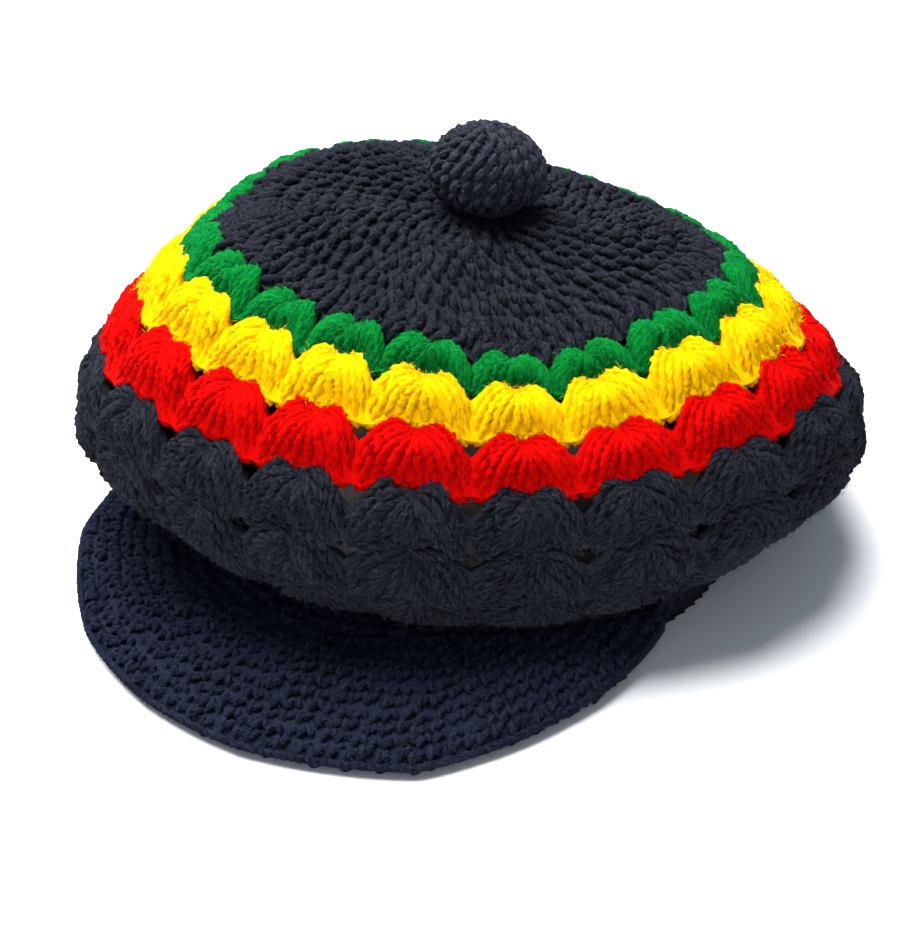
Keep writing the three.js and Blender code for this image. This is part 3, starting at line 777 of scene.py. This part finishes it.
class TamYarn(bpy.types.PropertyGroup):
    """Sizes of the yarn and its stitches."""
    yarn_width: FloatProperty(name="Yarn width", description="Diameter of the yarn, plies and all",
                              default=0.0037, min=0.001, max=0.008, subtype="DISTANCE", unit="LENGTH")
    plies: IntProperty(name="Plies", description="Plies spun into the yarn", default=4, min=2, max=6)
    ply_depth: FloatProperty(name="Ply depth", description="Depth of the groove between two plies, "
                             "as a share of the yarn's radius", default=0.16, min=0, max=0.5,
                             subtype="FACTOR")
    ply_pitch: FloatProperty(name="Ply pitch", description="Length of one full turn of the plies",
                             default=0.013, min=0.005, max=0.1, subtype="DISTANCE", unit="LENGTH")
    fuzz_per_cm2: FloatProperty(name="Fuzz", description="Loose fibres on a square centimetre of yarn",
                                default=31.0, min=0, max=100)
    fuzz_length: FloatProperty(name="Fuzz length", description="Reach of a loose fibre",
                               default=0.0030, min=0, max=0.02, subtype="DISTANCE", unit="LENGTH")
    fuzz_width: FloatProperty(name="Fuzz width", description="Thickness of a loose fibre",
                              default=0.00011, min=0, max=0.001, subtype="DISTANCE", unit="LENGTH")
    stitch_width: FloatProperty(name="Stitch width", description="Width of one stitch of the peak "
                                "and band", default=0.0056, min=0.002, max=0.01,
                                subtype="DISTANCE", unit="LENGTH")
    row_height: FloatProperty(name="Row height", description="Height of one row of the peak and band",
                              default=0.0050, min=0.002, max=0.01, subtype="DISTANCE", unit="LENGTH")
    rib_step: FloatProperty(name="Rib step", description="Length of one stitch along a rib of the "
                            "disc", default=0.0068, min=0.002, max=0.01, subtype="DISTANCE",
                            unit="LENGTH")
    button_step: FloatProperty(name="Button step", description="Size of one stitch of the button",
                               default=0.0047, min=0.002, max=0.01, subtype="DISTANCE",
                               unit="LENGTH")


class TamStage(bpy.types.PropertyGroup):
    """Lens and lights of the studio."""
    lens: FloatProperty(name="Lens", description="Focal length in millimetres on a 36 mm high sensor",
                        default=74.2, min=20, max=200)
    light: FloatProperty(name="Light", description="Power of the soft box overhead", default=66.0,
                         min=0, max=200, subtype="POWER", unit="POWER")
    room_tint: FloatVectorProperty(name="Room tint", description="Colour of the light that comes "
                                   "from all round", size=3, default=(0.70, 0.82, 1.0), min=0,
                                   max=1, subtype="COLOR")
    room_light: FloatProperty(name="Room light", description="Strength of the light that comes "
                              "from all round", default=0.31, min=0, max=2)


# One operator for each piece or group of like pieces

class TAM_OT_rounds(bpy.types.Operator):
    """Crochets the rounds of shells: green, yellow, red and four black ones"""
    bl_idname = "tam.rounds"
    bl_label = "Shell rounds"

    # Posts of black and of coloured yarn: how far they stray (share of POST_PLAY), thickness
    BLACK_POSTS = (2.4, 1.12)
    COLOURED_POSTS = (1.0, 1.2)
    # How high a post lies on the wall, and how much it rises from there.
    POST_LOW, POST_RISE = 0.0001, 0.0008
    # The same for a loop, and its reach from its middle as a share of the half shell.
    LOOP_LOW, LOOP_RISE = -0.0003, 0.0008
    LOOP_REACH = 0.27

    def execute(self, context):
        for order, name in enumerate(list(ROUNDS)[1:]):
            strands = Strands(11 + order)
            self.posts(strands, name)
            self.loops(strands, name)
            spin(name, strands, ROUNDS[name][2], 31 + order)
        return {"FINISHED"}

    def posts(self, strands, name):
        """The posts that fan out from each shell's base notch, both halves of every shell."""
        halves = np.concatenate((POSTS * (0.5, 1, 1), POSTS * (-0.5, 1, 1)))
        places = np.tile(halves, (SHELLS, 1, 1))
        shell = np.repeat(np.arange(SHELLS), len(halves))[:, None]
        loose, width = self.BLACK_POSTS if ROUNDS[name][2] == "black" else self.COLOURED_POSTS
        places = places + loose * strands.jitter(places.shape, 1.0) * POST_PLAY
        at, down, lift = np.moveaxis(smooth_paths(places, 8), -1, 0)
        self.lay(strands, name, shell, at, down, self.POST_LOW + self.POST_RISE * lift, width)

    def loops(self, strands, name):
        """The loops that close each shell's lower edge."""
        rows = np.tile(LOOPS, (SHELLS, 1)) + strands.jitter((len(LOOPS) * SHELLS, 3), 0.02)
        shell = np.repeat(np.arange(SHELLS), len(LOOPS))[:, None]
        t = np.linspace(-1, 1, 6)
        at = (rows[:, :1] + self.LOOP_REACH * t) / 2
        down = rows[:, 1:2] + (rows[:, 2:] - rows[:, 1:2]) * (t + 1) / 2
        self.lay(strands, name, shell, at, down, self.LOOP_RISE * (1 - t**2) + self.LOOP_LOW, 1.1)

    def lay(self, strands, name, shell, at, down, depth, width):
        """Lays strands on every shell of a round."""
        at = np.clip(at, -0.5, 0.5)
        top, bottom = upper_edge(name, at), lower_edge(name, at)
        run = top + down * (bottom - top)
        deg = FIRST_VALLEY_DEG + (shell + 0.5 + at) * SHELL_DEG
        strands.add(crown_points(deg, run, depth + puff_depth(name, at, down)), width, 0.85)


class TAM_OT_disc(bpy.types.Operator):
    """Crochets the black disc: ribs of slanted stitches that meet under the button"""
    bl_idname = "tam.disc"
    bl_label = "Crown disc"

    # from run, to run (shares of the disc), ribs round it
    ZONES = ((0.13, 0.30, 24), (0.30, 0.50, 40), (0.50, 0.70, 58), (0.70, 0.86, 76))
    # The looser posts: from run, to run (shares of the disc), slant in degrees
    LOOSE_ROUNDS = ((0.80, 0.93, 1.4), (0.90, 1.0, -1.5), (0.86, 0.97, 0.2))
    LOOSE_POSTS = 104
    # The posts that end at the disc's edge reach this far past it.
    EDGE_REACH = 0.0016

    def execute(self, context):
        strands = Strands(5)
        row = context.scene.tam_yarn.rib_step
        edge = RUN_OF["green_round"]
        for zone, (start, end, ribs) in enumerate(self.ZONES):
            rows = max(1, round((end - start) * edge / row))
            step = (end - start) * edge / rows
            turn = 360 / ribs
            for i in range(rows):
                run = start * edge + (i + 0.5) * step + strands.jitter(ribs, 0.0011)
                deg = (np.arange(ribs) + strands.jitter(ribs, 0.04 + 0.05 * zone)) * turn
                low = strands.jitter(ribs, 0.0005) + 0.0004 * np.sin(9 * np.radians(deg) + 90 * run)
                strands.slanted(crown_points, deg, run, 0.30 * turn, 0.56 * step,
                                low, 0.0015, steps=4, width=1.08, tip=-0.0008)
        self.loose_posts(strands, edge)
        spin("crown_disc", strands, "black", 7)
        return {"FINISHED"}

    def loose_posts(self, strands, edge):
        """The looser posts of the disc's last rounds, which end along its scalloped edge."""
        count = self.LOOSE_POSTS
        for start, end, turn in self.LOOSE_ROUNDS:
            at = np.mod((np.arange(count) + 0.5) * SHELLS / count, 1) - 0.5
            bottom = lower_edge("crown_disc", at) + self.EDGE_REACH if end == 1.0 else end * edge
            middle = (start * edge + bottom) / 2 + strands.jitter(count, 0.0014)
            deg = FIRST_VALLEY_DEG + (np.arange(count) + 0.5) * 360 / count
            strands.slanted(crown_points, deg + strands.jitter(count, 1.0), middle,
                            turn + strands.jitter(count, 1.3), (bottom - start * edge) * 0.46,
                            0.0002 + strands.jitter(count, 0.0004), 0.0014, steps=4, width=1.04)


class TAM_OT_band(bpy.types.Operator):
    """Crochets the head band: rows of stitches seen from outside and inside"""
    bl_idname = "tam.band"
    bl_label = "Head band"

    def execute(self, context):
        sizes = context.scene.tam_yarn
        strands = Strands(3)
        rows = round(BAND_HEIGHT / sizes.row_height)
        step = BAND_HEIGHT / rows
        count = round(math.tau * BAND_RADIUS / sizes.stitch_width)
        turn = 360 / count
        for i in range(rows):
            deg = (np.arange(count) + 0.5 * (i % 2)) * turn + strands.jitter(count, 0.1 * turn)
            height = (i + 0.5) * step + strands.jitter(count, 0.0002)
            for side in (1, -1):
                strands.slanted(band_points, deg, height, 0.36 * turn * side, 0.40 * step,
                                0.0006 * side, 0.0007 * side, steps=2)
        spin("head_band", strands, "black", 9)
        return {"FINISHED"}


class TAM_OT_peak(bpy.types.Operator):
    """Crochets the peak: staggered rows of stitches on both faces and a rolled edge"""
    bl_idname = "tam.peak"
    bl_label = "Peak"

    # Way in from the edge to the middle of the first row.
    FIRST_ROW = 0.0035
    # The ends of the stitches lie this deep in the peak's faces.
    SUNK = 0.0013

    def execute(self, context):
        sizes = context.scene.tam_yarn
        strands = Strands(4)
        rows = int(PEAK_LENGTH / sizes.row_height)
        for i in range(rows):
            inward = self.FIRST_ROW + i * sizes.row_height
            middle = BAND_RADIUS + PEAK_LENGTH - inward
            turn = math.degrees(sizes.stitch_width / max(middle, BAND_RADIUS))
            deg = np.arange(-85, 85, turn) + 0.5 * turn * (i % 2)
            deg = deg[inward < peak_reach(deg) - 0.001]
            if len(deg) < 2:
                continue
            deg = deg + strands.jitter(len(deg), 0.22 * turn)
            ways = inward + strands.jitter(len(deg), 0.0010)
            low = -self.SUNK + strands.jitter(len(deg), 0.0007)
            side = 1 if i % 2 else -1
            step = sizes.row_height
            strands.slanted(peak_top, deg - 0.20 * turn, ways, 0.13 * turn * side, 0.40 * step,
                            low, 0.0017, steps=3, width=0.98)
            strands.slanted(peak_top, deg + 0.22 * turn, ways + 0.16 * step, -0.22 * turn * side,
                            0.30 * step, low, 0.0014, steps=3, width=0.86)
            strands.slanted(peak_bottom, deg, ways, 0.32 * turn * side, 0.46 * step,
                            -self.SUNK, self.SUNK, steps=2, width=1.3)
        self.rolled_edge(strands)
        # The peak's yarn is the black yarn tinted with painted blue shade.
        spin("peak", strands, "shade_blue_black", 8)
        return {"FINISHED"}

    def rolled_edge(self, strands):
        """A rope of slanted loops round the peak's outer edge."""
        turn = 1.9
        deg = np.arange(-84, 84, turn)
        t = np.linspace(-1, 1, 6)
        degs = deg[:, None] + 1.3 * turn * t
        strands.add(peak_top(degs, 0.0008 + 0.0004 * t, 0.0003 * t), 0.78)


class TAM_OT_button(bpy.types.Operator):
    """Crochets the stuffed button on top"""
    bl_idname = "tam.button"
    bl_label = "Button"

    def execute(self, context):
        sizes = context.scene.tam_yarn
        strands = Strands(6)
        end = BUTTON[-1, 2]
        rows = round(end / sizes.button_step)
        step = end / rows
        for i in range(rows):
            run = (i + 0.5) * step
            radius = np.interp(run, BUTTON[:, 2], BUTTON[:, 0])
            around = max(5, round(math.tau * radius / sizes.button_step))
            turn = 360 / around
            deg = (np.arange(around) + 0.37 * i) * turn + strands.jitter(around, 0.12 * turn)
            runs = run + strands.jitter(around, 0.0004)
            strands.slanted(button_points, deg, runs, 0.30 * turn, 0.64 * step, -0.0012, 0.0011,
                            steps=4, width=1.04)
        # The button's yarn is the black yarn made lighter as painted light.
        piece = spin("top_button", strands, "lit_black", 6)
        return {"FINISHED"}


class TAM_OT_stage(bpy.types.Operator):
    """Sets the pale floor, the soft lights and the camera at the photograph's angle"""
    bl_idname = "tam.stage"
    bl_label = "Stage"

    FLOOR_REACH = 4.0
    # The camera looks at TARGET from DISTANCE away; SHIFT frames it as the photograph does.
    TARGET = Vector((CENTRE[0] + 0.004, CENTRE[1] - 0.003, 0.060))
    DISTANCE = 0.700
    AZIMUTH = math.radians(45)
    ELEVATION = math.radians(30)
    SHIFT = (-35 / 932, -77.8 / 932)
    # The soft boxes shine at AIM.
    AIM = Vector((0.0, 0.0, 0.05))
    # name, place, width, share of the light's power
    BOXES = (
        ("soft_box_over", (-0.45, 0.02, 1.25), 1.4, 1.0),
        ("soft_box_front", (0.9, -0.9, 0.75), 0.9, 0.035),
    )

    def execute(self, context):
        self.add_floor(context.scene)
        self.add_camera(context.scene)
        self.add_lights(context.scene)
        context.scene.view_settings.view_transform = "Standard"
        return {"FINISHED"}

    def add_floor(self, scene):
        """A pale floor under the tam."""
        mesh = bpy.data.meshes.new("studio_floor")
        mesh.from_pydata([(x * self.FLOOR_REACH, y * self.FLOOR_REACH, CAD_BOX[0][2])
                          for x, y in ((-1, -1), (1, -1), (1, 1), (-1, 1))], [], [(0, 1, 2, 3)])
        mesh.materials.append(studio_paint("matt_emulsion_paint", "f4f4f4"))
        floor = bpy.data.objects.new("studio_floor", mesh)
        scene.collection.objects.link(floor)

    def add_camera(self, scene):
        """The camera at the photograph's angle."""
        flat = math.cos(self.ELEVATION)
        back = Vector((math.sin(self.AZIMUTH) * flat, -math.cos(self.AZIMUTH) * flat,
                       math.sin(self.ELEVATION)))
        lens = bpy.data.cameras.new("camera")
        lens.sensor_fit = "VERTICAL"
        lens.sensor_height = 36
        lens.lens = scene.tam_stage.lens
        lens.shift_x, lens.shift_y = self.SHIFT
        camera = bpy.data.objects.new("camera", lens)
        self.place(scene, camera, self.TARGET + back * self.DISTANCE, back)
        scene.camera = camera

    def add_lights(self, scene):
        """Two soft boxes and the light that comes from all round."""
        sizes = scene.tam_stage
        for name, spot, width, share in self.BOXES:
            light = bpy.data.lights.new(name, "AREA")
            light.shape = "DISK"
            light.size = width
            light.energy = sizes.light * share
            self.place(scene, bpy.data.objects.new(name, light), spot, Vector(spot) - self.AIM)
        world = bpy.data.worlds.new("studio")
        world.use_nodes = True
        world.node_tree.nodes.clear()
        sky = put(world.node_tree, "ShaderNodeBackground",
                  {"Color": (*sizes.room_tint, 1.0), "Strength": sizes.room_light})
        put(world.node_tree, "ShaderNodeOutputWorld", {"Surface": sky.outputs[0]})
        scene.world = world

    @staticmethod
    def place(scene, thing, spot, back):
        """Puts a camera or light at a spot, with its back turned along back."""
        thing.matrix_world = (Matrix.Translation(spot)
                              @ back.to_track_quat("Z", "Y").to_matrix().to_4x4())
        scene.collection.objects.link(thing)


class TAM_PT_panel(bpy.types.Panel):
    """Lists the tam's pieces and sizes"""
    bl_label = "Rasta tam"
    bl_idname = "TAM_PT_panel"
    bl_space_type = "VIEW_3D"
    bl_region_type = "UI"
    bl_category = "Tam"

    def draw(self, context):
        for group in (context.scene.tam_yarn, context.scene.tam_stage):
            for key in group.__annotations__:
                self.layout.prop(group, key)
        for operator in OPERATORS:
            self.layout.operator(operator.bl_idname)


OPERATORS = (TAM_OT_stage, TAM_OT_rounds, TAM_OT_disc, TAM_OT_band, TAM_OT_peak, TAM_OT_button)
CLASSES = (TamYarn, TamStage, *OPERATORS, TAM_PT_panel)


def register():
    for made in CLASSES:
        bpy.utils.register_class(made)
    bpy.types.Scene.tam_yarn = PointerProperty(type=TamYarn)
    bpy.types.Scene.tam_stage = PointerProperty(type=TamStage)


def unregister():
    del bpy.types.Scene.tam_stage
    del bpy.types.Scene.tam_yarn
    for made in reversed(CLASSES):
        bpy.utils.unregister_class(made)


def main():
    """Builds every piece in order."""
    register()
    bpy.ops.tam.stage()
    bpy.ops.tam.rounds()
    bpy.ops.tam.disc()
    bpy.ops.tam.band()
    bpy.ops.tam.peak()
    bpy.ops.tam.button()


if __name__ == "__main__":
    main()
